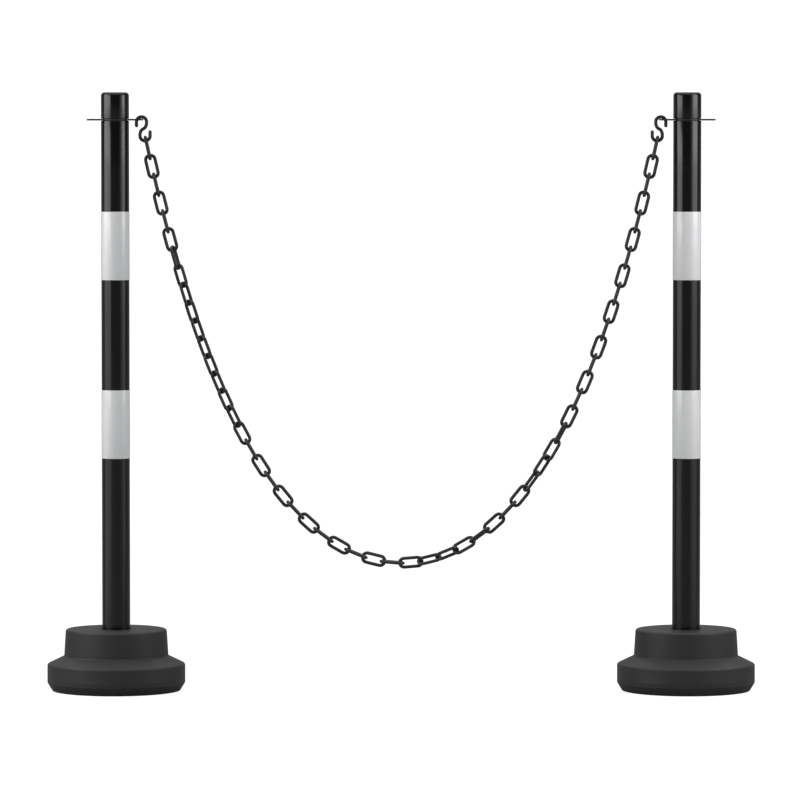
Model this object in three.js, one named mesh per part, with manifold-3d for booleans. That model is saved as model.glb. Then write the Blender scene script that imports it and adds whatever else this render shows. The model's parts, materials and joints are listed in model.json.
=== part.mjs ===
// Plastic chain stanchions: two weighted posts joined by one hanging plastic chain.
// Millimetres, +Z up. The origin is on the floor midway between the posts, which stand on the X axis.
// The right-hand stanchion and hook mirror the left-hand ones, and the chain's links are numbered
// from the left.

import * as THREE from 'three';
import { mergeVertices } from 'three/addons/utils/BufferGeometryUtils.js';
import Module from 'manifold-3d';

const wasm = await Module();
wasm.setup();

// ---------------------------------------------------------------- driving dimensions

const GAP = 0.3; // clearance between pieces that touch

const POST_SPACING = 998;
const OVERALL_HEIGHT = 1046;

const BASE_RADIUS = 120.8;
const BASE_FOOT_RADIUS = 112;
const BASE_CHAMFER_TOP = 14; // where the sloping foot meets the upright rim
const BASE_RIM_TOP = 46.5;
const BASE_RIM_ROUND = 4;
const DRUM_FOOT_RADIUS = 91.3;
const DRUM_FOOT_HEIGHT = 60.8;
const DRUM_TOP_RADIUS = 88.4;
const DRUM_HEIGHT = 107.6;
const DRUM_ROUND = 4.5;
const SHELL_WALL = 3;

const SOCKET_FLOOR_TOP = 18;
const SOCKET_FLOOR = 4; // thickness
const SOCKET_MOUTH_RADIUS = 28;
const COVER_THICKNESS = 3;

const TUBE_RADIUS = 24.5;
const TUBE_WALL = 2.5;
const TUBE_TOP = 996.4;
const PLUG_HEIGHT = 42;
const BOLT_RADIUS = 5;
const BOLT_REACH = 30; // into the plug
const BOLT_HEAD_HEIGHT = 6.4;
const BOLT_HEAD_CORNER_RADIUS = 9.8;
const BOLT_HEAD_SIDES = 6;
const WASHER_RADIUS = 12;
const WASHER_THICKNESS = 2;

const BAND_FILM = 0.35;
const BAND_CLEARANCE = 0.15;
const LOWER_BAND = { foot: 407, top: 526.5 };
const UPPER_BAND = { foot: 718.8, top: 838 };

const PLATE_THICKNESS = 3;
const PLATE_REACH = 48.8; // from the post's axis to the outer edge of each loop
const PLATE_HALF_WIDTH = 15.5;
const PLATE_STRIP = 5; // width of the strip around each loop's window
const PLATE_CORNER = 5;
const WINDOW_START = 28; // from the post's axis
const WINDOW_CORNER = 3;
const CAP_WALL = 2.5;
const CAP_SPIGOT_LENGTH = 40;
const CAP_EDGE = 6;

const WIRE = 6; // hooks and links
const HOOK_BEND = 8.8; // centreline radius of both loops of an S-hook
const HOOK_DROP = 25; // from the upper loop's centre to the lower loop's
const HOOK_OFFSET = 6; // the lower loop's centre lies this far further from the post
const HOOK_LEG = 9.8; // straight end of each loop
const HOOK_HANDLE = 17; // how far the middle stretch keeps each loop's direction
const HOOK_PLAY = 0.8; // between a hook and the end of the chain
const OPEN_PIVOT_SHIFT = 1.2; // sideways room for the right end of the chain to move

const LINK_COUNT = 56;
const LINK_PITCH = 32.86;
const LINK_BEND = 8.25; // centreline radius of a link's ends
const LINKS_PER_LENGTH = 2;
const LENGTH_BOND = 0.5; // overlap that joins the links of one length

// Flat faces that stand for each round.
const BASE_SEGMENTS = 32;
const TUBE_SEGMENTS = 24;
const SHANK_SEGMENTS = 16;
const HOOK_STEPS = 24; // along an S-hook's wire
const HOOK_ARC_STEPS = 12; // along each of its loops
const HOOK_SIDES = 8; // round its wire
const LINK_STATIONS = 10; // along a link's wire
const LINK_SIDES = 6; // round a link's wire
const EDGE_STEPS = 2; // over a rounded edge of the base or a window's corner
const CORNER_STEPS = 3; // over the cap's rounded edge or a corner of the plate
const HUB_STEPS = 10; // along each bare side of the plate's round hub

// ---------------------------------------------------------------- materials

const matt = (color, roughness, metalness = 0) => (
  new THREE.MeshStandardMaterial({ color, roughness, metalness })
);

const postPlastic = matt(0x161616, 0.28);
const basePlastic = matt(0x3d3d3d, 0.62);
const platePlastic = matt(0x2a2a2a, 0.5);
const chainPlastic = matt(0x2c2c2c, 0.55);
const reflectiveFilm = matt(0xdcdcdc, 0.35);
const concrete = matt(0x8c8a85, 0.95);
const zincSteel = matt(0xa9adb0, 0.35, 1);

// ---------------------------------------------------------------- shared shape helpers

// A closed solid of revolution about Z, from a profile of [radius, height] points.
function turned(profile, segments) {
  const points = profile.map(([radius, height]) => new THREE.Vector2(radius, height));
  return new THREE.LatheGeometry(points, segments).rotateX(Math.PI / 2);
}

// A ring about Z with a rectangular section.
function ring(innerRadius, outerRadius, foot, top, segments) {
  return turned([
    [innerRadius, foot], [outerRadius, foot], [outerRadius, top], [innerRadius, top], [innerRadius, foot],
  ], segments);
}

// Points along an ellipse's arc from one angle to another, in degrees.
function arcPoints(centre, radii, from, to, steps) {
  return Array.from({ length: steps + 1 }, (_, i) => {
    const angle = THREE.MathUtils.degToRad(from + ((to - from) * i) / steps);
    return [centre[0] + radii[0] * Math.cos(angle), centre[1] + radii[1] * Math.sin(angle)];
  });
}

function solid(geometry) {
  const weldDistance = 1e-4;
  const bare = geometry.clone();
  bare.deleteAttribute('normal');
  bare.deleteAttribute('uv');
  const merged = mergeVertices(bare, weldDistance);
  return new wasm.Manifold(new wasm.Mesh({
    numProp: 3,
    vertProperties: new Float32Array(merged.attributes.position.array),
    triVerts: new Uint32Array(merged.index.array),
  }));
}

function geometryOf(manifold) {
  const mesh = manifold.getMesh();
  const geometry = new THREE.BufferGeometry();
  geometry.setAttribute('position', new THREE.BufferAttribute(mesh.vertProperties, 3));
  geometry.setIndex(new THREE.BufferAttribute(mesh.triVerts, 1));
  geometry.computeVertexNormals();
  return geometry;
}

function named(name, geometry, material) {
  const mesh = new THREE.Mesh(geometry, material);
  mesh.name = name;
  return mesh;
}

// ---------------------------------------------------------------- base

const SOCKET_RADIUS = TUBE_RADIUS + GAP;
const BOSS_RADIUS = SOCKET_RADIUS + SHELL_WALL;
const HOLE_RADIUS = BOLT_RADIUS + GAP;
const COVER_RADIUS = BASE_FOOT_RADIUS - SHELL_WALL - GAP;
const SOCKET_FLOOR_FOOT = SOCKET_FLOOR_TOP - SOCKET_FLOOR;
const CAVITY_FOOT = COVER_THICKNESS + GAP;

// The hollow under the shell, from its foot up to the underside of the drum's top.
// An inset moves the outline inwards, for what fills the hollow.
function cavityOutline(inset) {
  const wall = SHELL_WALL + inset;
  return [
    [BASE_FOOT_RADIUS - wall, CAVITY_FOOT + inset],
    [BASE_RADIUS - wall, BASE_CHAMFER_TOP],
    [BASE_RADIUS - wall, BASE_RIM_TOP - BASE_RIM_ROUND - inset],
    [DRUM_FOOT_RADIUS - wall, DRUM_FOOT_HEIGHT - wall / 2],
    [DRUM_TOP_RADIUS - wall, DRUM_HEIGHT - wall],
  ];
}

function baseShell() {
  const foot = [[BASE_FOOT_RADIUS, 0], [BASE_RADIUS, BASE_CHAMFER_TOP]];
  const rim = arcPoints(
    [BASE_RADIUS - BASE_RIM_ROUND, BASE_RIM_TOP - BASE_RIM_ROUND],
    [BASE_RIM_ROUND, BASE_RIM_ROUND],
    0, 60, EDGE_STEPS,
  );
  const drumEdge = arcPoints(
    [DRUM_TOP_RADIUS - DRUM_ROUND, DRUM_HEIGHT - DRUM_ROUND],
    [DRUM_ROUND, DRUM_ROUND],
    0, 90, EDGE_STEPS,
  );
  const outside = [...foot, ...rim, [DRUM_FOOT_RADIUS, DRUM_FOOT_HEIGHT], ...drumEdge];
  const socket = [
    [SOCKET_MOUTH_RADIUS, DRUM_HEIGHT],
    [SOCKET_RADIUS, DRUM_HEIGHT - SHELL_WALL],
    [SOCKET_RADIUS, SOCKET_FLOOR_TOP],
    [HOLE_RADIUS, SOCKET_FLOOR_TOP],
    [HOLE_RADIUS, SOCKET_FLOOR_FOOT],
    [SOCKET_RADIUS, SOCKET_FLOOR_FOOT],
    [SOCKET_RADIUS, CAVITY_FOOT],
    [BOSS_RADIUS, CAVITY_FOOT],
    [BOSS_RADIUS, DRUM_HEIGHT - SHELL_WALL],
  ];
  const inside = [...cavityOutline(0).reverse(), [BASE_FOOT_RADIUS - SHELL_WALL, 0]];
  return turned([...outside, ...socket, ...inside, [BASE_FOOT_RADIUS, 0]], BASE_SEGMENTS);
}

function baseBallast() {
  const core = BOSS_RADIUS + GAP;
  const outline = cavityOutline(GAP);
  return turned([
    [core, CAVITY_FOOT + GAP], ...outline, [core, DRUM_HEIGHT - SHELL_WALL - GAP], [core, CAVITY_FOOT + GAP],
  ], BASE_SEGMENTS);
}

function baseCover() {
  return turned([
    [0, 0], [COVER_RADIUS, 0], [COVER_RADIUS, COVER_THICKNESS], [0, COVER_THICKNESS],
  ], BASE_SEGMENTS);
}

// ---------------------------------------------------------------- post and its fixing

const TUBE_FOOT = SOCKET_FLOOR_TOP + GAP;
const BORE_RADIUS = TUBE_RADIUS - TUBE_WALL;
const WASHER_TOP = SOCKET_FLOOR_FOOT - GAP;
const BOLT_HEAD_TOP = WASHER_TOP - WASHER_THICKNESS - GAP;
const BOLT_TIP = TUBE_FOOT + BOLT_REACH;

function footPlug() {
  const radius = BORE_RADIUS - GAP;
  const boreTop = BOLT_TIP + 2 * GAP;
  return turned([
    [0, boreTop], [HOLE_RADIUS, boreTop], [HOLE_RADIUS, TUBE_FOOT],
    [radius, TUBE_FOOT], [radius, TUBE_FOOT + PLUG_HEIGHT], [0, TUBE_FOOT + PLUG_HEIGHT],
  ], TUBE_SEGMENTS);
}

// A hexagon-head bolt: its head is under the washer and its shank rises into the foot plug.
function postBolt() {
  const shankFoot = BOLT_HEAD_TOP - BOLT_HEAD_HEIGHT / 2;
  const shankLength = BOLT_TIP - shankFoot;
  const head = new THREE.CylinderGeometry(
    BOLT_HEAD_CORNER_RADIUS, BOLT_HEAD_CORNER_RADIUS, BOLT_HEAD_HEIGHT, BOLT_HEAD_SIDES,
  ).rotateX(Math.PI / 2).translate(0, 0, BOLT_HEAD_TOP - BOLT_HEAD_HEIGHT / 2);
  const shank = new THREE.CylinderGeometry(BOLT_RADIUS, BOLT_RADIUS, shankLength, SHANK_SEGMENTS)
    .rotateX(Math.PI / 2).translate(0, 0, shankFoot + shankLength / 2);
  return geometryOf(solid(head).add(solid(shank)));
}

function reflectiveBand({ foot, top }) {
  const inner = TUBE_RADIUS + BAND_CLEARANCE;
  return ring(inner, inner + BAND_FILM, foot, top, TUBE_SEGMENTS);
}

// ---------------------------------------------------------------- chain plate and cap

const PLATE_FOOT = TUBE_TOP + GAP;
const PLATE_TOP = PLATE_FOOT + PLATE_THICKNESS;
const CAP_FOOT = PLATE_TOP + GAP;

const shapePoints = (pairs) => pairs.map(([x, y]) => new THREE.Vector2(x, y));

// The window of one chain loop, a rectangle with rounded corners. Side is -1 or 1.
function loopWindow(side) {
  const far = PLATE_REACH - PLATE_STRIP;
  const middle = (side * (WINDOW_START + far)) / 2;
  const cornerX = (far - WINDOW_START) / 2 - WINDOW_CORNER;
  const cornerY = PLATE_HALF_WIDTH - PLATE_STRIP - WINDOW_CORNER;
  const corners = [[1, 1], [-1, 1], [-1, -1], [1, -1]].map(([x, y], quarter) => arcPoints(
    [middle + x * cornerX, y * cornerY], [WINDOW_CORNER, WINDOW_CORNER],
    90 * quarter, 90 * quarter + 90, EDGE_STEPS,
  ));
  return new THREE.Path(shapePoints(corners.flat()));
}

// The flat plate: a ring clamped between tube and cap, with a chain loop on each side of the post.
function chainPlate() {
  const hubAngle = THREE.MathUtils.radToDeg(Math.asin(PLATE_HALF_WIDTH / TUBE_RADIUS));
  const hub = (from) => arcPoints(
    [0, 0], [TUBE_RADIUS, TUBE_RADIUS], from + hubAngle, from + 180 - hubAngle, HUB_STEPS,
  );
  const corner = (x, y, from) => arcPoints(
    [x * (PLATE_REACH - PLATE_CORNER), y * (PLATE_HALF_WIDTH - PLATE_CORNER)],
    [PLATE_CORNER, PLATE_CORNER], from, from + 90, CORNER_STEPS,
  );
  const outline = new THREE.Shape(shapePoints([
    ...hub(-180), ...corner(1, -1, -90), ...corner(1, 1, 0),
    ...hub(0), ...corner(-1, 1, 90), ...corner(-1, -1, 180),
  ]));
  const bore = arcPoints([0, 0], [BORE_RADIUS, BORE_RADIUS], 0, 360, TUBE_SEGMENTS);
  outline.holes.push(new THREE.Path(shapePoints(bore.slice(1))), loopWindow(-1), loopWindow(1));
  return new THREE.ExtrudeGeometry(outline, { depth: PLATE_THICKNESS, bevelEnabled: false })
    .translate(0, 0, PLATE_FOOT);
}

function topCap() {
  const spigot = BORE_RADIUS - GAP;
  const hollow = spigot - CAP_WALL;
  return turned([
    [0, OVERALL_HEIGHT - CAP_WALL], [hollow, OVERALL_HEIGHT - CAP_WALL],
    [hollow, CAP_FOOT - CAP_SPIGOT_LENGTH], [spigot, CAP_FOOT - CAP_SPIGOT_LENGTH],
    [spigot, CAP_FOOT], [TUBE_RADIUS, CAP_FOOT],
    ...arcPoints(
      [TUBE_RADIUS - CAP_EDGE, OVERALL_HEIGHT - CAP_EDGE], [CAP_EDGE, CAP_EDGE],
      0, 90, CORNER_STEPS,
    ),
    [0, OVERALL_HEIGHT],
  ], TUBE_SEGMENTS);
}

// ---------------------------------------------------------------- S-hooks

// Hook positions are measured outwards from the post's axis. The upper loop hangs over the middle of
// the plate's outer strip, whose edges meet the round inside of the loop.
const HOOK_INSIDE = HOOK_BEND - WIRE / 2;
const UPPER_LOOP = new THREE.Vector2(
  PLATE_REACH - PLATE_STRIP / 2,
  PLATE_TOP + GAP - Math.sqrt(HOOK_INSIDE ** 2 - (PLATE_STRIP / 2) ** 2),
);
const LOWER_LOOP = new THREE.Vector2(UPPER_LOOP.x + HOOK_OFFSET, UPPER_LOOP.y - HOOK_DROP);

// The wire's centreline: up over the plate, diagonally back, round under the link and up again.
function hookPath() {
  const point = (loop, side, rise) => new THREE.Vector3(loop.x + side * HOOK_BEND, 0, loop.y + rise);
  const halfCircle = (loop, from, to) => {
    const spots = arcPoints([loop.x, loop.y], [HOOK_BEND, HOOK_BEND], from, to, HOOK_ARC_STEPS);
    return new THREE.CatmullRomCurve3(spots.map(([x, z]) => new THREE.Vector3(x, 0, z)));
  };
  const path = new THREE.CurvePath();
  path.add(new THREE.LineCurve3(point(UPPER_LOOP, -1, -HOOK_LEG), point(UPPER_LOOP, -1, 0)));
  path.add(halfCircle(UPPER_LOOP, 180, 0));
  path.add(new THREE.CubicBezierCurve3(
    point(UPPER_LOOP, 1, 0), point(UPPER_LOOP, 1, -HOOK_HANDLE),
    point(LOWER_LOOP, -1, HOOK_HANDLE), point(LOWER_LOOP, -1, 0),
  ));
  path.add(halfCircle(LOWER_LOOP, 180, 360));
  path.add(new THREE.LineCurve3(point(LOWER_LOOP, 1, 0), point(LOWER_LOOP, 1, HOOK_LEG)));
  return path;
}

function sHook() {
  const section = new THREE.Shape().absarc(0, 0, WIRE / 2, 0, 2 * Math.PI, false);
  return new THREE.ExtrudeGeometry(section, {
    extrudePath: hookPath(), steps: HOOK_STEPS, curveSegments: HOOK_SIDES / 2, bevelEnabled: false,
  });
}

// ---------------------------------------------------------------- chain

// The loose chain has twisted about its own line by three quarter turns: a slow one on the way down
// on the left, and two quicker ones beside the lowest link and at the start of the climb. Each stretch
// of links adds its turn, in degrees.
const TWISTS = [
  { from: 6, to: 8, turn: 36 },
  { from: 8, to: 16, turn: 14 },
  { from: 16, to: 18, turn: 40 },
  { from: 28, to: 30, turn: 34 },
  { from: 30, to: 34, turn: 56 },
  { from: 36, to: 38, turn: 42 },
  { from: 38, to: 41, turn: 48 },
];

function twistAt(link) {
  return TWISTS.reduce(
    (sum, { from, to, turn }) => sum + turn * THREE.MathUtils.clamp((link - from) / (to - from), 0, 1), 0,
  );
}

// The tangent of a hanging chain's slope grows by the same step from link to link. The evenness is
// the number of links to a step of 1, and the chain reaches from hook to hook for one value only.
function slopeOf(link, evenness) {
  return Math.atan((link - (LINK_COUNT + 1) / 2) / evenness);
}

function spanFor(evenness) {
  let span = 0;
  for (let link = 1; link <= LINK_COUNT; link += 1) {
    span += LINK_PITCH * Math.cos(slopeOf(link, evenness));
  }
  return span;
}

function evennessFor(span) {
  const halvings = 50;
  let low = 1;
  let high = LINK_COUNT;
  for (let i = 0; i < halvings; i += 1) {
    const middle = (low + high) / 2;
    if (spanFor(middle) < span) low = middle;
    else high = middle;
  }
  return low;
}

// Where the chain's first link bears on the left hook. The bearing point lies in the direction of
// the chain's pull, which depends on the span, so the two are settled together.
function chainLayout() {
  const reach = HOOK_INSIDE - HOOK_PLAY;
  const rounds = 10;
  let lean = 0;
  let evenness = 0;
  let start = new THREE.Vector2();
  for (let i = 0; i < rounds; i += 1) {
    start = new THREE.Vector2(
      LOWER_LOOP.x + reach * Math.sin(lean) - POST_SPACING / 2, LOWER_LOOP.y - reach * Math.cos(lean),
    );
    evenness = evennessFor(-2 * start.x + OPEN_PIVOT_SHIFT);
    lean = Math.PI / 2 + slopeOf(1, evenness);
  }
  return { start, evenness };
}

// The links of one length press into each other by the bond, and the lengths are a gap apart.
const LINK_INSIDE = LINK_PITCH + (GAP - LENGTH_BOND) / 2;
const LINK_SPREAD = (GAP + LENGTH_BOND) / 4;

// One link: a ring stretched along X, so that its ends are round and its sides straight.
function linkRing() {
  const stretch = LINK_INSIDE / 2 - (LINK_BEND - WIRE / 2);
  const geometry = new THREE.TorusGeometry(LINK_BEND, WIRE / 2, LINK_SIDES, LINK_STATIONS);
  const spots = geometry.attributes.position;
  for (let i = 0; i < spots.count; i += 1) {
    spots.setX(i, spots.getX(i) + Math.sign(spots.getX(i)) * stretch);
    spots.setY(i, spots.getY(i) / Math.cos(Math.PI / LINK_STATIONS));
  }
  return geometry;
}

// The chain's links, joined two by two into lengths.
function chainLengths() {
  const { start, evenness } = chainLayout();
  const lengths = [];
  const joint = start.clone();
  for (let link = 1; link <= LINK_COUNT; link += 1) {
    const slope = slopeOf(link, evenness);
    const along = new THREE.Vector2(Math.cos(slope), Math.sin(slope));
    const isFirst = link % LINKS_PER_LENGTH === 1;
    const spread = isFirst ? -LINK_SPREAD : LINK_SPREAD;
    const centre = joint.clone().addScaledVector(along, LINK_PITCH / 2 + spread);
    const edgeOn = link % 2 === 1 ? 90 : 0;
    const geometry = linkRing()
      .rotateX(THREE.MathUtils.degToRad(90 + edgeOn + twistAt(link)))
      .rotateY(-slope)
      .translate(centre.x, 0, centre.y);
    if (isFirst) lengths.push(solid(geometry));
    else lengths.push(lengths.pop().add(solid(geometry)));
    joint.addScaledVector(along, LINK_PITCH);
  }
  return lengths.map(geometryOf);
}

// ---------------------------------------------------------------- assembly

const assembly = new THREE.Group();

for (const [sideName, side] of [['left', -1], ['right', 1]]) {
  const stanchion = new THREE.Group();
  stanchion.position.x = (side * POST_SPACING) / 2;
  stanchion.add(
    named(`${sideName}_base_shell`, baseShell(), basePlastic),
    named(`${sideName}_base_ballast`, baseBallast(), concrete),
    named(`${sideName}_base_cover`, baseCover(), basePlastic),
    named(
      `${sideName}_post_tube`,
      ring(BORE_RADIUS, TUBE_RADIUS, TUBE_FOOT, TUBE_TOP, TUBE_SEGMENTS),
      postPlastic,
    ),
    named(`${sideName}_post_foot_plug`, footPlug(), postPlastic),
    named(`${sideName}_post_bolt`, postBolt(), zincSteel),
    named(
      `${sideName}_post_bolt_washer`,
      ring(HOLE_RADIUS, WASHER_RADIUS, WASHER_TOP - WASHER_THICKNESS, WASHER_TOP, TUBE_SEGMENTS),
      zincSteel,
    ),
    named(`${sideName}_lower_reflective_band`, reflectiveBand(LOWER_BAND), reflectiveFilm),
    named(`${sideName}_upper_reflective_band`, reflectiveBand(UPPER_BAND), reflectiveFilm),
    named(`${sideName}_chain_plate`, chainPlate(), platePlastic),
    named(`${sideName}_top_cap`, topCap(), postPlastic),
  );
  const hook = named(`${sideName}_s_hook`, sHook(), chainPlastic);
  hook.rotation.z = side === 1 ? Math.PI : 0;
  stanchion.add(hook);
  assembly.add(stanchion);
}

chainLengths().forEach((geometry, i) => {
  const number = String(i + 1).padStart(2, '0');
  assembly.add(named(`chain_length_${number}`, geometry, chainPlastic));
});

export default assembly;
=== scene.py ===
"""Plastic chain stanchions: the visible pieces, their materials, and a plain white studio.

Every length is in metres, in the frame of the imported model: +Z up, the posts on the X axis, the
front towards -Y. Sizes of single features are written in millimetres, times MM.
"""

import json
import math
import random

import bmesh
import bpy
from mathutils import Matrix, Vector


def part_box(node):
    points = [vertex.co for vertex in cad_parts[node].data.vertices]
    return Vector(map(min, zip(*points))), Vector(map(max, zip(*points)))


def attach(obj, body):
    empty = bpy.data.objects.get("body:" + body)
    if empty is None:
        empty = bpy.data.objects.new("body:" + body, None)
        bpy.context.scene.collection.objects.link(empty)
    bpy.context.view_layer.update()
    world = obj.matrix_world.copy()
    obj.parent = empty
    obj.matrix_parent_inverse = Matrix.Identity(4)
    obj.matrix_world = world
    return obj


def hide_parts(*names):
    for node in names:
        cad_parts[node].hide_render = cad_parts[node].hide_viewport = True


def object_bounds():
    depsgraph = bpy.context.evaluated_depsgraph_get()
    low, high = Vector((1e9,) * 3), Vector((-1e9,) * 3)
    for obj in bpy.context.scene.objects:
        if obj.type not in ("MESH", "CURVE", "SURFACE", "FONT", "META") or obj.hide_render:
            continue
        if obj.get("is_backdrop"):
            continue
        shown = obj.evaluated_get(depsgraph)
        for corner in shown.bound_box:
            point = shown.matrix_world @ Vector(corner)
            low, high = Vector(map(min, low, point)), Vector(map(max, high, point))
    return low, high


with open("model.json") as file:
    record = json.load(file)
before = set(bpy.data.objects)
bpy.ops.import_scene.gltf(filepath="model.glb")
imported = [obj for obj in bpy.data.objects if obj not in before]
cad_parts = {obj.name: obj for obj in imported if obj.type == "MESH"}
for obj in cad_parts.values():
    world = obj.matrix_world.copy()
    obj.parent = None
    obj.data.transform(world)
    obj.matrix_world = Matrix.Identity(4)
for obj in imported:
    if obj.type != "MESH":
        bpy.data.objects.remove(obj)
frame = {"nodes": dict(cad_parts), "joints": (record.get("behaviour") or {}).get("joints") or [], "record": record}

CAD_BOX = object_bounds()
MM = 0.001
SIDES = ("left", "right")

# ---------------------------------------------------------------- sizes that the frame gives


def side_of(name):
    return -1 if name == "left" else 1


def axis_x(name):
    """Where the post's axis stands."""
    low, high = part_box(f"{name}_post_tube")
    return (low.x + high.x) / 2


def heights(node):
    low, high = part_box(node)
    return low.z, high.z


def radius_of(node):
    low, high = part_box(node)
    return (high.x - low.x) / 2


# ---------------------------------------------------------------- mesh helpers


def mesh_object(name, vertices, faces, sharp_degrees=35):
    """A smooth-shaded mesh with its faces turned outwards and its real corners kept sharp."""
    mesh = bpy.data.meshes.new(name)
    mesh.from_pydata([tuple(v) for v in vertices], [], faces)
    shape = bmesh.new()
    shape.from_mesh(mesh)
    bmesh.ops.remove_doubles(shape, verts=shape.verts, dist=1e-7)
    bmesh.ops.recalc_face_normals(shape, faces=shape.faces)
    shape.to_mesh(mesh)
    shape.free()
    mesh.shade_smooth()
    mesh.set_sharp_from_angle(angle=math.radians(sharp_degrees))
    made = bpy.data.objects.new(name, mesh)
    bpy.context.scene.collection.objects.link(made)
    return made


def rounded(corners, steps=6):
    """A polyline through (a, b, fillet) corners, each turned into an arc of its fillet radius."""
    points = []
    count = len(corners)
    for i, (a, b, fillet) in enumerate(corners):
        here = Vector((a, b))
        before = Vector(corners[i - 1][:2]) - here
        after = Vector(corners[(i + 1) % count][:2]) - here
        if fillet == 0 or before.length == 0 or after.length == 0:
            points.append(here)
            continue
        before.normalize()
        after.normalize()
        half = before.angle(after) / 2
        centre = here + (before + after).normalized() * fillet / math.sin(half)
        reach = fillet / math.tan(half)
        start, end = here + before * reach - centre, here + after * reach - centre
        turn = start.angle(end)
        for k in range(steps + 1):
            share = k / steps
            arc = (start * math.sin((1 - share) * turn) + end * math.sin(share * turn)) / math.sin(turn)
            points.append(centre + arc)
    return points


def turned(name, profile, x, segments=128, wave=None):
    """A solid of revolution about the upright line at x. The profile is a closed outline of
    (radius, height) points, and points on the axis become one vertex. A wave gives each radius
    a small change with the angle."""
    vertices, rings, faces = [], [], []
    for radius, z in profile:
        if radius < 1e-9:
            rings.append([len(vertices)])
            vertices.append((x, 0, z))
            continue
        rings.append(list(range(len(vertices), len(vertices) + segments)))
        for k in range(segments):
            angle = 2 * math.pi * k / segments
            r = radius + (wave(angle, radius, z) if wave else 0)
            vertices.append((x + r * math.cos(angle), r * math.sin(angle), z))
    for i, ring in enumerate(rings):
        following = rings[(i + 1) % len(rings)]
        if len(ring) == 1 and len(following) == 1:
            continue
        for k in range(segments):
            a, b = ring[k % len(ring)], ring[(k + 1) % len(ring)]
            c, d = following[(k + 1) % len(following)], following[k % len(following)]
            faces.append([v for n, v in enumerate((a, b, c, d)) if v not in (a, b, c, d)[:n]])
    return mesh_object(name, vertices, faces)


def wire_section(radius, seam, count=20):
    """A round wire's section as (in the bend's plane, across it) offsets. The mould's parting line
    stands proud of it by the seam, on the outside and on the inside of the bend."""
    points = []
    for k in range(count):
        angle = 2 * math.pi * k / count
        on_line = abs(math.sin(angle)) < 1e-6
        r = radius + (seam if on_line else 0)
        points.append((r * math.cos(angle), r * math.sin(angle)))
    return points


def swept(name, path, section, closed):
    """A wire along a path of (a, b) points in the XZ plane. An open wire's ends are rounded."""
    count = len(path)
    points = [Vector(p) for p in path]
    stations = []
    for i, point in enumerate(points):
        before = points[i - 1] if closed or i else points[0]
        after = points[(i + 1) % count] if closed or i < count - 1 else points[-1]
        tangent = (after - before).normalized()
        stations.append((point, tangent, 1.0))
    if not closed:
        radius = max(abs(a) for a, _ in section)
        stations = end_cap(stations[0], radius, -1) + stations + end_cap(stations[-1], radius, 1)
    vertices, faces = [], []
    size = len(section)
    for point, tangent, scale in stations:
        normal = Vector((-tangent.y, tangent.x))
        for a, b in section:
            spot = point + normal * a * scale
            vertices.append((spot.x, b * scale, spot.y))
    rows = len(stations)
    for i in range(rows if closed else rows - 1):
        for k in range(size):
            low, high = i * size, ((i + 1) % rows) * size
            faces.append((low + k, low + (k + 1) % size, high + (k + 1) % size, high + k))
    if not closed:
        faces.append(tuple(range(size)))
        faces.append(tuple(range((rows - 1) * size, rows * size)))
    return mesh_object(name, vertices, faces, sharp_degrees=60)


def end_cap(station, radius, direction, steps=5):
    """Shrinking sections that round off an open end. The path already ends a radius short."""
    point, tangent, _ = station
    caps = []
    for k in range(1, steps + 1):
        angle = math.pi / 2 * k / steps
        reach = radius * math.sin(angle) * direction
        caps.append((point + tangent * reach, tangent, max(math.cos(angle), 0.05)))
    return caps if direction > 0 else caps[::-1]


def settle(piece, body, slot, material, *nodes):
    """Gives a finished piece its material and its body, and hides the CAD nodes it stands for. The slot is not
    used.
    """
    piece.data.materials.clear()
    piece.data.materials.append(material)
    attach(piece, body)
    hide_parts(*nodes)
    return piece


# ---------------------------------------------------------------- materials


def set_range(node, numbers):
    """Gives a Map Range node its from-low, from-high, to-low and to-high."""
    for socket, number in zip(("From Min", "From Max", "To Min", "To Max"), numbers):
        node.inputs[socket].default_value = number


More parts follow.
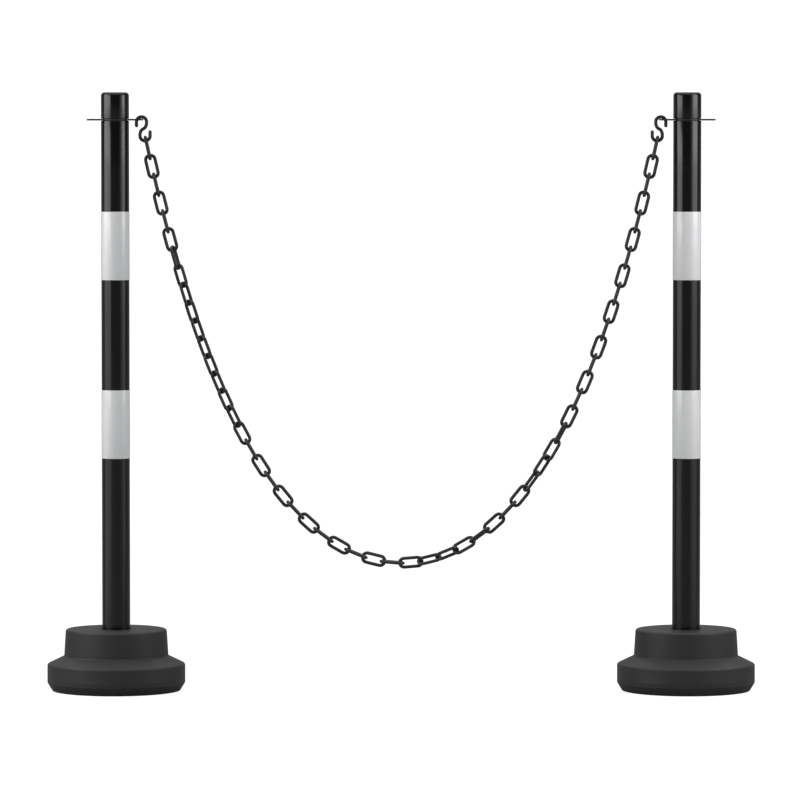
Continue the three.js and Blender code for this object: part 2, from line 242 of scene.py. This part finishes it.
class Surface:
    """A Principled material and short ways of adding procedural nodes to it."""

    def __init__(self, name, **constants):
        self.material = bpy.data.materials.new(name)
        self.material.use_nodes = True
        self.nodes = self.material.node_tree.nodes
        self.links = self.material.node_tree.links
        self.shader = self.nodes["Principled BSDF"]
        for socket, value in constants.items():
            self.shader.inputs[socket.replace("_", " ")].default_value = value
        self.place = self.nodes.new("ShaderNodeTexCoord").outputs["Object"]

    def stretched(self, x, y, z):
        mapping = self.nodes.new("ShaderNodeMapping")
        mapping.inputs["Scale"].default_value = (x, y, z)
        self.links.new(self.place, mapping.inputs["Vector"])
        return mapping.outputs["Vector"]

    def noise(self, scale, detail=4.0, rough=0.55, place=None):
        node = self.nodes.new("ShaderNodeTexNoise")
        node.inputs["Scale"].default_value = scale
        node.inputs["Detail"].default_value = detail
        node.inputs["Roughness"].default_value = rough
        self.links.new(place or self.place, node.inputs["Vector"])
        return node.outputs["Fac"]

    def cells(self, scale, feature="F1"):
        node = self.nodes.new("ShaderNodeTexVoronoi")
        node.feature = feature
        node.inputs["Scale"].default_value = scale
        self.links.new(self.place, node.inputs["Vector"])
        return node.outputs["Distance"]

    def ranged(self, value, low, high, to_low=0.0, to_high=1.0):
        node = self.nodes.new("ShaderNodeMapRange")
        node.interpolation_type = "SMOOTHSTEP"
        self.links.new(value, node.inputs["Value"])
        set_range(node, (low, high, to_low, to_high))
        return node.outputs["Result"]

    def math(self, operation, a, b):
        node = self.nodes.new("ShaderNodeMath")
        node.operation = operation
        for socket, value in zip(node.inputs, (a, b)):
            if isinstance(value, (int, float)):
                socket.default_value = value
            else:
                self.links.new(value, socket)
        return node.outputs["Value"]

    def mixed(self, factor, a, b):
        """Colour a where the factor is 0 and b where it is 1; each is a colour or a socket."""
        node = self.nodes.new("ShaderNodeMix")
        node.data_type = "RGBA"
        self.links.new(factor, node.inputs["Factor"])
        for socket, value in ((node.inputs[6], a), (node.inputs[7], b)):
            if isinstance(value, tuple):
                socket.default_value = (*value, 1)
            else:
                self.links.new(value, socket)
        return node.outputs[2]

    def axis(self, letter):
        node = self.nodes.new("ShaderNodeSeparateXYZ")
        self.links.new(self.place, node.inputs["Vector"])
        return node.outputs[letter]

    def bump(self, *layers):
        """Each layer is a (height socket, depth in metres) pair."""
        normal = None
        for height, depth in layers:
            node = self.nodes.new("ShaderNodeBump")
            node.inputs["Strength"].default_value = 1
            node.inputs["Distance"].default_value = depth
            self.links.new(height, node.inputs["Height"])
            if normal:
                self.links.new(normal, node.inputs["Normal"])
            normal = node.outputs["Normal"]
        self.links.new(normal, self.shader.inputs["Normal"])

    def paint(self, colour=None, roughness=None):
        if colour:
            self.links.new(colour, self.shader.inputs["Base Color"])
        if roughness:
            self.links.new(roughness, self.shader.inputs["Roughness"])


def post_plastic():
    """Glossy black extruded plastic: faint die lines along the tube, and light handling scuffs."""
    s = Surface("post_plastic", IOR=1.5)
    along = s.stretched(900, 900, 3)
    die_lines = s.noise(1, 2, 0.5, along)
    ripple = s.noise(1, 2, 0.5, s.stretched(14, 14, 9))
    scuffs = s.ranged(s.noise(60, 8, 0.7), 0.6, 0.75)
    dust = s.noise(9, 5, 0.6)
    clean = s.mixed(dust, (0.0025, 0.0025, 0.0027), (0.0045, 0.0045, 0.0047))
    s.paint(
        s.mixed(s.math("MULTIPLY", scuffs, 0.35), clean, (0.03, 0.03, 0.032)),
        s.math("ADD", s.math("MULTIPLY", die_lines, 0.1), s.ranged(dust, 0.35, 0.7, 0.12, 0.18)),
    )
    s.bump((ripple, 0.12 * MM), (die_lines, 0.012 * MM), (scuffs, -0.006 * MM))
    return s.material


def base_plastic():
    """Matt charcoal moulded plastic with a fine spark-eroded grain, rubbed paler near the floor."""
    s = Surface("base_plastic", IOR=1.48, Specular_IOR_Level=0.3)
    grain = s.noise(1400, 3, 0.6)
    pores = s.cells(900)
    cloud = s.noise(14, 5, 0.6)
    foot = s.ranged(s.axis("Z"), 20 * MM, 2 * MM)
    rub = s.math("MULTIPLY", foot, s.ranged(s.noise(160, 6, 0.7), 0.45, 0.7))
    specks = s.ranged(s.noise(420, 4, 0.7), 0.68, 0.78)
    clean = s.mixed(cloud, (0.029, 0.0288, 0.0285), (0.036, 0.0358, 0.0355))
    dusty = s.mixed(s.math("MULTIPLY", specks, 0.3), clean, (0.06, 0.058, 0.056))
    s.paint(
        s.mixed(s.math("MULTIPLY", rub, 0.45), dusty, (0.07, 0.069, 0.067)),
        s.ranged(cloud, 0.3, 0.75, 0.44, 0.58),
    )
    s.bump((cloud, 0.25 * MM), (pores, 0.03 * MM), (grain, 0.05 * MM))
    return s.material


def chain_plastic():
    """Matt black moulded plastic. Each piece differs a little in tone, and has small
    paler nicks."""
    s = Surface("chain_plastic", IOR=1.5)
    batch = s.nodes.new("ShaderNodeObjectInfo").outputs["Random"]
    grain = s.noise(2200, 3, 0.6)
    cloud = s.noise(90, 4, 0.6)
    nicks = s.ranged(s.noise(330, 6, 0.7), 0.66, 0.76)
    tone = s.math("MULTIPLY", s.math("ADD", batch, cloud), 0.5)
    clean = s.mixed(tone, (0.017, 0.017, 0.0173), (0.027, 0.027, 0.0273))
    s.paint(
        s.mixed(s.math("MULTIPLY", nicks, 0.4), clean, (0.07, 0.07, 0.07)),
        s.ranged(cloud, 0.3, 0.7, 0.34, 0.5),
    )
    s.bump((cloud, 0.08 * MM), (grain, 0.02 * MM))
    return s.material


def plate_plastic():
    """Satin black moulded plastic, lightly rubbed."""
    s = Surface("plate_plastic", IOR=1.5)
    grain = s.noise(1500, 3, 0.6)
    cloud = s.noise(60, 5, 0.6)
    rub = s.ranged(s.noise(240, 6, 0.7), 0.6, 0.75)
    clean = s.mixed(cloud, (0.008, 0.008, 0.0085), (0.014, 0.014, 0.0145))
    s.paint(
        s.mixed(s.math("MULTIPLY", rub, 0.3), clean, (0.04, 0.04, 0.04)),
        s.ranged(cloud, 0.3, 0.7, 0.45, 0.6),
    )
    s.bump((grain, 0.03 * MM))
    return s.material


def reflective_film():
    """Silver-white reflective film: glass beads under a clear skin, faint creases, a few scratches."""
    s = Surface("reflective_film", IOR=1.5, Coat_Weight=1.0, Coat_Roughness=0.12, Specular_IOR_Level=0.2)
    beads = s.cells(2600)
    cloud = s.noise(30, 5, 0.6)
    creases = s.noise(1, 3, 0.6, s.stretched(40, 40, 110))
    scratches = s.ranged(s.noise(1, 7, 0.75, s.stretched(500, 500, 60)), 0.64, 0.74)
    clean = s.mixed(cloud, (0.84, 0.845, 0.85), (0.90, 0.905, 0.91))
    sparkling = s.mixed(s.ranged(beads, 0.1, 0.5), clean, (0.76, 0.77, 0.78))
    s.paint(
        s.mixed(s.math("MULTIPLY", scratches, 0.5), sparkling, (0.40, 0.40, 0.40)),
        s.ranged(cloud, 0.3, 0.7, 0.34, 0.46),
    )
    s.bump((creases, 0.10 * MM), (beads, 0.012 * MM))
    return s.material


def concrete():
    """Cast grey concrete: sand, small stones and air holes."""
    s = Surface("concrete", IOR=1.5)
    cloud = s.noise(25, 6, 0.6)
    stones = s.cells(160)
    holes = s.ranged(s.cells(420), 0.0, 0.16, 1.0, 0.0)
    sand = s.noise(1600, 4, 0.7)
    ground = s.mixed(cloud, (0.20, 0.195, 0.185), (0.36, 0.35, 0.33))
    s.paint(
        s.mixed(s.ranged(stones, 0.1, 0.35, 0.5, 0.0), ground, (0.16, 0.155, 0.15)),
        s.ranged(sand, 0.3, 0.7, 0.8, 0.98),
    )
    s.bump((sand, 0.2 * MM), (holes, -0.5 * MM))
    return s.material


def zinc_steel():
    """Zinc plated steel: fine crystals and a brushed direction."""
    s = Surface("zinc_steel", Metallic=1.0)
    brushing = s.noise(1, 4, 0.6, s.stretched(200, 2000, 2000))
    crystals = s.cells(260)
    s.paint(
        s.mixed(crystals, (0.62, 0.63, 0.65), (0.45, 0.46, 0.48)),
        s.ranged(brushing, 0.3, 0.7, 0.25, 0.42),
    )
    s.bump((brushing, 0.01 * MM))
    return s.material


MATERIALS = {
    make.__name__: make()
    for make in (
        post_plastic, base_plastic, chain_plastic, plate_plastic, reflective_film, concrete, zinc_steel,
    )
}

# ---------------------------------------------------------------- base

FOOT_RADIUS = 112 * MM
CHAMFER_TOP = 14 * MM  # where the sloping foot meets the upright rim
RIM_TOP = 46.5 * MM
RIM_ROUND = 4.5 * MM
DRUM_FOOT = (91.3 * MM, 60.8 * MM)  # radius, height
DRUM_TOP_RADIUS = 88.4 * MM
DRUM_ROUND = 4.5 * MM
SHELL_WALL = 3 * MM
MOULD_LINE = 0.06 * MM
MOULD_LINE_HEIGHT = 21 * MM
SOCKET_MOUTH_RADIUS = 28 * MM
PLAY = 0.3 * MM


def base_shell(name):
    """One moulding: foot, rim, sloping shoulder, drum and the socket that the post stands in. The
    mould's parting line runs round the rim."""
    node = f"{name}_base_shell"
    top = heights(node)[1]
    outer = radius_of(node)
    rim = outer - MOULD_LINE
    socket = radius_of(f"{name}_post_tube") + PLAY
    inside_foot = heights(f"{name}_base_cover")[1] + PLAY
    socket_top = top - SHELL_WALL
    profile = rounded([
        (FOOT_RADIUS, 0, 0.8 * MM),
        (rim, CHAMFER_TOP, 5 * MM),
        (rim, MOULD_LINE_HEIGHT - 0.5 * MM, 0),
        (outer, MOULD_LINE_HEIGHT - 0.2 * MM, 0),
        (outer, MOULD_LINE_HEIGHT + 0.2 * MM, 0),
        (rim, MOULD_LINE_HEIGHT + 0.5 * MM, 0),
        (rim, RIM_TOP, RIM_ROUND),
        (*DRUM_FOOT, 2.5 * MM),
        (DRUM_TOP_RADIUS, top, DRUM_ROUND),
        (SOCKET_MOUTH_RADIUS, top, 0.6 * MM),
        (socket, socket_top, 0.5 * MM),
        (socket, inside_foot, 0),
        (socket + SHELL_WALL, inside_foot, 0),
        (socket + SHELL_WALL, socket_top, 0),
        (DRUM_TOP_RADIUS - SHELL_WALL, socket_top, 0),
        (DRUM_FOOT[0] - SHELL_WALL, DRUM_FOOT[1] - SHELL_WALL, 0),
        (rim - SHELL_WALL, RIM_TOP - RIM_ROUND, 0),
        (rim - SHELL_WALL, CHAMFER_TOP, 0),
        (FOOT_RADIUS - SHELL_WALL, inside_foot, 0),
        (FOOT_RADIUS - SHELL_WALL, 0, 0.6 * MM),
    ])
    shell = turned(f"{name}_base_moulding", profile, axis_x(name), 160)
    return settle(shell, "stanchions", "base_plastic", MATERIALS["base_plastic"], node)


def base_cover(name):
    """A flat disc with two moulded grooves and a shallow gate mark at its centre."""
    node = f"{name}_base_cover"
    low, high = heights(node)
    radius = radius_of(node)
    groove = 1.2 * MM
    corners = [(0, low + groove, 0), (5 * MM, low + groove, 0.5 * MM), (6 * MM, low, 0.5 * MM)]
    for middle in (radius * 0.45, radius * 0.82):
        corners += [
            (middle - 3 * MM, low, 0.5 * MM), (middle - 2 * MM, low + groove, 0.5 * MM),
            (middle + 2 * MM, low + groove, 0.5 * MM), (middle + 3 * MM, low, 0.5 * MM),
        ]
    corners += [(radius, low, 0.8 * MM), (radius, high, 0.3 * MM), (0, high, 0)]
    cover = turned(f"{name}_underside_cover", rounded(corners, 4), axis_x(name), 96)
    return settle(cover, "stanchions", "base_plastic", MATERIALS["base_plastic"], node)


# ---------------------------------------------------------------- post, bands and cap

TUBE_WALL = 2.5 * MM
CAP_WALL = 2.5 * MM
CAP_EDGE = 5.9 * MM
JOINT_EDGE = 1 * MM  # rounds the tube's and the cap's edges where the chain plate is clamped
FILM_THICKNESS = 0.2 * MM
LAP_SHARE = 0.6  # how much of the film's thickness the pressed lap stands out
LAP_HALF_ANGLE = 0.16  # radians


def post_tube(name):
    node = f"{name}_post_tube"
    low, high = heights(node)
    radius = radius_of(node)
    outside = [(radius, low + (high - low) * k / 12, 0) for k in range(1, 12)]
    profile = rounded([
        (radius - TUBE_WALL, low, 0), (radius, low, 0.5 * MM), *outside,
        (radius, high, JOINT_EDGE), (radius - TUBE_WALL, high, 0),
    ], 3)
    tube = turned(f"{name}_post", profile, axis_x(name))
    return settle(tube, "stanchions", "post_plastic", MATERIALS["post_plastic"], node)


def reflective_band(name, level):
    """A sleeve of film. It closes at the back, where one end lies over the other."""
    node = f"{name}_{level}_reflective_band"
    low, high = heights(node)
    outer = radius_of(node)
    film = FILM_THICKNESS
    lap_height = film * LAP_SHARE
    lap_middle, lap_half = math.pi / 2, LAP_HALF_ANGLE
    skin = outer - lap_height

    def lap(angle, radius, _z):
        on_skin = radius > skin - film / 2
        return lap_height if on_skin and abs(angle - lap_middle) < lap_half else 0

    profile = rounded([
        (skin - film, low, 0), (skin, low, 0.08 * MM), (skin, (low + high) / 2, 0),
        (skin, high, 0.08 * MM), (skin - film, high, 0),
    ], 3)
    band = turned(f"{name}_{level}_band_film", profile, axis_x(name), 192, lap)
    return settle(band, "stanchions", "reflective_film", MATERIALS["reflective_film"], node)


def top_cap(name):
    """A plain cap with a spigot. Its top has the small dimple of its injection gate."""
    node = f"{name}_top_cap"
    low, high = heights(node)
    radius = radius_of(node)
    foot = heights(f"{name}_chain_plate")[1] + PLAY
    spigot = radius - TUBE_WALL - PLAY
    profile = rounded([
        (0, high - CAP_WALL, 0), (spigot - CAP_WALL, high - CAP_WALL, 1 * MM),
        (spigot - CAP_WALL, low, 0), (spigot, low, 0.8 * MM),
        (spigot, foot, 0), (radius, foot, JOINT_EDGE), (radius, high, CAP_EDGE),
        (3.2 * MM, high, 0.4 * MM), (2.6 * MM, high - 0.5 * MM, 0.2 * MM), (0, high - 0.5 * MM, 0),
    ])
    cap = turned(f"{name}_cap", profile, axis_x(name))
    return settle(cap, f"{name}_cap", "post_plastic", MATERIALS["post_plastic"], node)


# ---------------------------------------------------------------- chain plate

PLATE_HALF_WIDTH = 15.5 * MM
PLATE_STRIP = 5 * MM
PLATE_CORNER = 5 * MM
WINDOW_START = 28 * MM
WINDOW_CORNER = 3 * MM


def arc(centre, radius, start, end, steps):
    """Points on a circle's arc, in degrees."""
    angles = [math.radians(start + (end - start) * k / steps) for k in range(steps + 1)]
    return [(centre[0] + radius * math.cos(a), centre[1] + radius * math.sin(a)) for a in angles]


def plate_outline(hub, reach):
    """The plate's outer edge: a round hub with a rectangular loop on each side."""
    angle = math.degrees(math.asin(PLATE_HALF_WIDTH / hub))
    x, y = reach - PLATE_CORNER, PLATE_HALF_WIDTH - PLATE_CORNER
    corner = lambda sx, sy, start: arc((sx * x, sy * y), PLATE_CORNER, start, start + 90, 8)
    return [
        *arc((0, 0), hub, angle - 180, -angle, 40), *corner(1, -1, -90), *corner(1, 1, 0),
        *arc((0, 0), hub, angle, 180 - angle, 40), *corner(-1, 1, 90), *corner(-1, -1, 180),
    ]


def window_outline(side, reach):
    far = reach - PLATE_STRIP
    middle = side * (WINDOW_START + far) / 2
    x = (far - WINDOW_START) / 2 - WINDOW_CORNER
    y = PLATE_HALF_WIDTH - PLATE_STRIP - WINDOW_CORNER
    points = []
    for quarter, (sx, sy) in enumerate(((1, 1), (-1, 1), (-1, -1), (1, -1))):
        centre = (middle + sx * x, sy * y)
        points += arc(centre, WINDOW_CORNER, 90 * quarter, 90 * quarter + 90, 6)
    return points


def chain_plate(name):
    """The plate is a filled curve with holes, whose bevel rounds every edge."""
    node = f"{name}_chain_plate"
    low, high = heights(node)
    reach = radius_of(node)
    post = radius_of(f"{name}_post_tube")
    hub = post - JOINT_EDGE
    bevel = 0.5 * MM
    outline = bpy.data.curves.new(f"{name}_plate_outline", "CURVE")
    outline.dimensions = "2D"
    outline.fill_mode = "BOTH"
    bore = arc((0, 0), post - TUBE_WALL, 0, 360, 96)[1:]
    windows = [window_outline(side, reach) for side in (-1, 1)]
    for points in (plate_outline(hub, reach), bore, *windows):
        spline = outline.splines.new("POLY")
        spline.points.add(len(points) - 1)
        for spot, (x, y) in zip(spline.points, points):
            spot.co = (x, y, 0, 1)
        spline.use_cyclic_u = True
    outline.offset = -bevel
    outline.bevel_depth = bevel
    outline.bevel_resolution = 3
    outline.extrude = (high - low) / 2 - bevel
    drawn = bpy.data.objects.new("plate_drawing", outline)
    bpy.context.scene.collection.objects.link(drawn)
    bpy.context.view_layer.update()
    mesh = bpy.data.meshes.new_from_object(drawn.evaluated_get(bpy.context.evaluated_depsgraph_get()))
    mesh.transform(Matrix.Translation((axis_x(name), 0, (low + high) / 2)))
    bpy.data.objects.remove(drawn)
    vertices = [v.co for v in mesh.vertices]
    faces = [list(p.vertices) for p in mesh.polygons]
    plate = mesh_object(f"{name}_plate", vertices, faces)
    return settle(plate, "stanchions", "plate_plastic", MATERIALS["plate_plastic"], node)


# ---------------------------------------------------------------- S-hooks

WIRE_RADIUS = 3 * MM
WIRE_SEAM = 0.1 * MM
HOOK_BEND = 8.8 * MM
HOOK_OFFSET = 6 * MM
HOOK_LEG = 9.8 * MM
HOOK_HANDLE = 17 * MM


def hook_path(upper, lower):
    """The wire's centreline, from the free end beside the post to the free end beside the chain."""
    steps = 20
    leg = HOOK_LEG - WIRE_RADIUS
    path = [(upper[0] - HOOK_BEND, upper[1] - leg * (1 - k / 4)) for k in range(4)]
    path += arc(upper, HOOK_BEND, 180, 0, steps)
    corners = [
        Vector((upper[0] + HOOK_BEND, upper[1])), Vector((upper[0] + HOOK_BEND, upper[1] - HOOK_HANDLE)),
        Vector((lower[0] - HOOK_BEND, lower[1] + HOOK_HANDLE)), Vector((lower[0] - HOOK_BEND, lower[1])),
    ]
    for k in range(1, steps):
        t = k / steps
        weights = ((1 - t) ** 3, 3 * (1 - t) ** 2 * t, 3 * (1 - t) * t ** 2, t ** 3)
        path.append(sum((w * c for w, c in zip(weights, corners)), Vector((0, 0))))
    path += arc(lower, HOOK_BEND, 180, 360, steps)
    path += [(lower[0] + HOOK_BEND, lower[1] + leg * (k + 1) / 4) for k in range(4)]
    return path


def s_hook(name):
    node = f"{name}_s_hook"
    low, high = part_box(node)
    half = HOOK_BEND + WIRE_RADIUS
    away = -side_of(name)
    near_post = low.x if name == "left" else high.x
    upper = (abs(near_post - axis_x(name)) + half, high.z - half)
    lower = (upper[0] + HOOK_OFFSET, low.z + half)
    section = wire_section(WIRE_RADIUS - WIRE_SEAM, WIRE_SEAM)
    hook = swept(f"{name}_hook", hook_path(upper, lower), section, closed=False)
    hook.data.transform(Matrix.Translation((axis_x(name), 0, 0)) @ Matrix.Diagonal((away, 1, 1, 1)))
    if away < 0:
        hook.data.flip_normals()
    return settle(hook, f"{name}_hook", "chain_plastic", MATERIALS["chain_plastic"], node)


# ---------------------------------------------------------------- chain

LINK_COUNT = 56
LINK_PITCH = 32.86 * MM
LINK_BEND = 8.25 * MM
LINK_INSIDE = LINK_PITCH - 0.1 * MM
LINKS_PER_NODE = 2
END_BAR = 3.15 * MM  # from a link's bearing point to the middle of its wire
OPEN_PIVOT_SHIFT = 1.2 * MM
SQUARENESS = 2.25  # 2 gives a link round ends, and more gives squarer ones
LINK_LEAN = 0.12 * MM  # at most, by which an end is out of square
# Stretches over which the loose chain twists: first link, last link, and the turn in degrees.
TWISTS = ((6, 8, 36), (8, 16, 14), (16, 18, 40), (28, 30, 34), (30, 34, 56), (36, 38, 42), (38, 41, 48))


def slope_of(link, evenness):
    return math.atan((link - (LINK_COUNT + 1) / 2) / evenness)


def evenness_for(span):
    """How evenly the slope grows when the chain reaches across that span."""
    low, high = 1.0, float(LINK_COUNT)
    for _ in range(50):
        middle = (low + high) / 2
        reach = sum(LINK_PITCH * math.cos(slope_of(link, middle)) for link in range(1, LINK_COUNT + 1))
        if reach < span:
            low = middle
        else:
            high = middle
    return low


def chain_layout():
    """The bearing point of the first link, and the evenness. The joint gives the middle of the
    first link's end bar, which lies along the link from the bearing point."""
    pivot = next(j["pos_m"] for j in frame["joints"] if j["name"] == "chain_sway")
    start, evenness = Vector((pivot[0], pivot[2])), 6.0
    for _ in range(10):
        slope = slope_of(1, evenness)
        start = Vector((pivot[0], pivot[2])) + END_BAR * Vector((math.cos(slope), math.sin(slope)))
        evenness = evenness_for(-2 * start.x + OPEN_PIVOT_SHIFT)
    return start, evenness


def twist_at(link):
    return sum(turn * min(max((link - a) / (b - a), 0), 1) for a, b, turn in TWISTS)


def link_mesh(name, seed):
    """One link lying along X in the XZ plane. The seed makes it a little uneven, as moulded."""
    draw = random.Random(seed)
    straight = LINK_INSIDE / 2 + WIRE_RADIUS - LINK_BEND
    lean = draw.uniform(-LINK_LEAN, LINK_LEAN)
    power = 2 / SQUARENESS
    path = []
    steps = 16
    for side in (1, -1):
        for k in range(steps + 1):
            angle = math.pi * (k / steps - 0.5)
            a = LINK_BEND * abs(math.cos(angle)) ** power
            b = LINK_BEND * math.copysign(abs(math.sin(angle)) ** power, math.sin(angle))
            path.append((side * (straight + a) + side * lean * b / LINK_BEND, side * b))
        path += [
            (side * straight * (1 - 2 * k / 5), side * LINK_BEND) for k in range(1, 5)
        ]
    section = wire_section(WIRE_RADIUS - WIRE_SEAM, WIRE_SEAM, 16)
    return swept(name, path, section, closed=True)


def chain_links():
    start, evenness = chain_layout()
    body_of = {n: body for body, names in frame["record"]["behaviour"]["bodies"].items() for n in names}
    joint = start.copy()
    for link in range(1, LINK_COUNT + 1):
        slope = slope_of(link, evenness)
        along = Vector((math.cos(slope), math.sin(slope)))
        centre = joint + along * LINK_PITCH / 2
        joint += along * LINK_PITCH
        edge_on = 90 if link % 2 else 0
        piece = link_mesh(f"chain_link_{link:02d}", link)
        piece.matrix_world = (
            Matrix.Translation((centre.x, 0, centre.y))
            @ Matrix.Rotation(-slope, 4, "Y")
            @ Matrix.Rotation(math.radians(edge_on + twist_at(link)), 4, "X")
        )
        node = f"chain_length_{(link + 1) // LINKS_PER_NODE:02d}"
        settle(piece, body_of[node], "chain_plastic", MATERIALS["chain_plastic"], node)


# ---------------------------------------------------------------- building it

for side_name in SIDES:
    base_shell(side_name)
    base_cover(side_name)
    post_tube(side_name)
    reflective_band(side_name, "lower")
    reflective_band(side_name, "upper")
    chain_plate(side_name)
    top_cap(side_name)
    s_hook(side_name)
chain_links()

HIDDEN_FINISHES = {
    "base_ballast": "concrete", "post_foot_plug": "post_plastic",
    "post_bolt": "zinc_steel", "post_bolt_washer": "zinc_steel",
}
for side_name in SIDES:
    for part, finish in HIDDEN_FINISHES.items():
        node = frame["nodes"][f"{side_name}_{part}"]
        node.data.materials.clear()
        node.data.materials.append(MATERIALS[finish])

# ---------------------------------------------------------------- studio

CAMERA_PLACE = Vector((-0.002, -9.7, 0.9976))
CAMERA_TILT = math.radians(2.885)
LENS = 250
SENSOR = 36

# Upright soft boxes, as the plan places of their front and back edges and the radiance of each of
# their levels. PANEL_HEIGHTS are the edges of the levels.
PANEL_HEIGHTS = (0, 0.45, 0.72, 0.97, 1.8)
SOFT_BOXES = {
    "left": (Vector((-3.53, -4.09, 0)), Vector((-1.75, 0.1, 0)), (0.85, 1.2, 2.6, 4.0)),
    "right": (Vector((1.55, -1.09, 0)), Vector((2.3, -0.05, 0)), (0.55, 1.0, 2.5, 4.4)),
    "right_fill": (Vector((2.0, -2.6, 0)), Vector((1.6, -1.15, 0)), (0.25, 0.3, 0.7, 0.7)),
}

# The room's glow, by how far a direction points up and to the back: where the glow starts and ends,
# and its strength before and after.
CEILING = (0.45, 0.85, 0.05, 1.3)
BACKDROP = (0.4, 0.75, 0.0, 0.25)
WHITE_STRENGTH = 1.1

FLOOR_HALF_WIDTH = 40
FLOOR_GAP = 0.2 * MM  # under the object, so that their faces don't coincide
FLOOR_COLOUR = (0.3, 0.3, 0.3)
FLOOR_GLOW = 0.84


def studio_camera():
    data = bpy.data.cameras.new("camera")
    data.lens = LENS
    data.sensor_width = SENSOR
    camera = bpy.data.objects.new("camera", data)
    camera.location = CAMERA_PLACE
    camera.rotation_euler = (math.pi / 2 - CAMERA_TILT, 0, 0)
    bpy.context.scene.collection.objects.link(camera)
    bpy.context.scene.camera = camera


def soft_box(name, front, back, radiances):
    middle = (front + back) / 2
    across = Vector((front.y - back.y, back.x - front.x, 0)).normalized()
    inwards = across if across.dot(middle) < 0 else -across
    for level, radiance in enumerate(radiances):
        foot, top = PANEL_HEIGHTS[level:level + 2]
        data = bpy.data.lights.new(f"{name}_panel_{level}", "AREA")
        data.shape = "RECTANGLE"
        data.size, data.size_y = (back - front).length, top - foot
        data.energy = math.pi * radiance * data.size * data.size_y
        light = bpy.data.objects.new(data.name, data)
        light.location = middle + Vector((0, 0, (foot + top) / 2))
        light.rotation_euler = inwards.to_track_quat("-Z", "Y").to_euler()
        light.visible_camera = False
        bpy.context.scene.collection.objects.link(light)


def studio_world():
    """White to the camera. To everything else, a dim room with a bright ceiling and a dim wall
    behind the object."""
    world = bpy.data.worlds.new("studio")
    world.use_nodes = True
    nodes, links = world.node_tree.nodes, world.node_tree.links
    direction = nodes.new("ShaderNodeSeparateXYZ")
    links.new(nodes.new("ShaderNodeTexCoord").outputs["Generated"], direction.inputs["Vector"])
    total = nodes.new("ShaderNodeMath")
    for socket, (axis, numbers) in zip(total.inputs, (("Z", CEILING), ("Y", BACKDROP))):
        glow = nodes.new("ShaderNodeMapRange")
        glow.interpolation_type = "SMOOTHSTEP"
        set_range(glow, numbers)
        links.new(direction.outputs[axis], glow.inputs["Value"])
        links.new(glow.outputs["Result"], socket)
    around = nodes["Background"]
    around.inputs["Color"].default_value = (1, 1, 1, 1)
    links.new(total.outputs["Value"], around.inputs["Strength"])
    seen = nodes.new("ShaderNodeBackground")
    seen.inputs["Color"].default_value = (1, 1, 1, 1)
    seen.inputs["Strength"].default_value = WHITE_STRENGTH
    choice = nodes.new("ShaderNodeMixShader")
    rays = nodes.new("ShaderNodeLightPath")
    links.new(rays.outputs["Is Camera Ray"], choice.inputs["Fac"])
    links.new(around.outputs["Background"], choice.inputs[1])
    links.new(seen.outputs["Background"], choice.inputs[2])
    links.new(choice.outputs["Shader"], nodes["World Output"].inputs["Surface"])
    bpy.context.scene.world = world


def studio_floor():
    """A wide pale floor. It glows a little to the camera, so that it runs into the white."""
    half = FLOOR_HALF_WIDTH
    corners = [(-half, -half, 0), (half, -half, 0), (half, half, 0), (-half, half, 0)]
    floor = mesh_object("floor", corners, [(0, 1, 2, 3)])
    floor.location.z = -FLOOR_GAP
    s = Surface("floor", Roughness=1.0, Base_Color=(*FLOOR_COLOUR, 1))
    glow = s.nodes.new("ShaderNodeEmission")
    rays = s.nodes.new("ShaderNodeLightPath")
    both = s.nodes.new("ShaderNodeAddShader")
    s.links.new(s.math("MULTIPLY", rays.outputs["Is Camera Ray"], FLOOR_GLOW), glow.inputs["Strength"])
    s.links.new(s.shader.outputs["BSDF"], both.inputs[0])
    s.links.new(glow.outputs["Emission"], both.inputs[1])
    s.links.new(both.outputs["Shader"], s.nodes["Material Output"].inputs["Surface"])
    floor.data.materials.append(s.material)
    floor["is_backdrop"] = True


studio_camera()
for box_name, (front, back, radiances) in SOFT_BOXES.items():
    soft_box(box_name, front, back, radiances)
studio_world()
studio_floor()
bpy.context.scene.view_settings.view_transform = "Standard"

({
    "cad": [list(corner) for corner in CAD_BOX],
    "visual": [list(corner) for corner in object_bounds()],
})
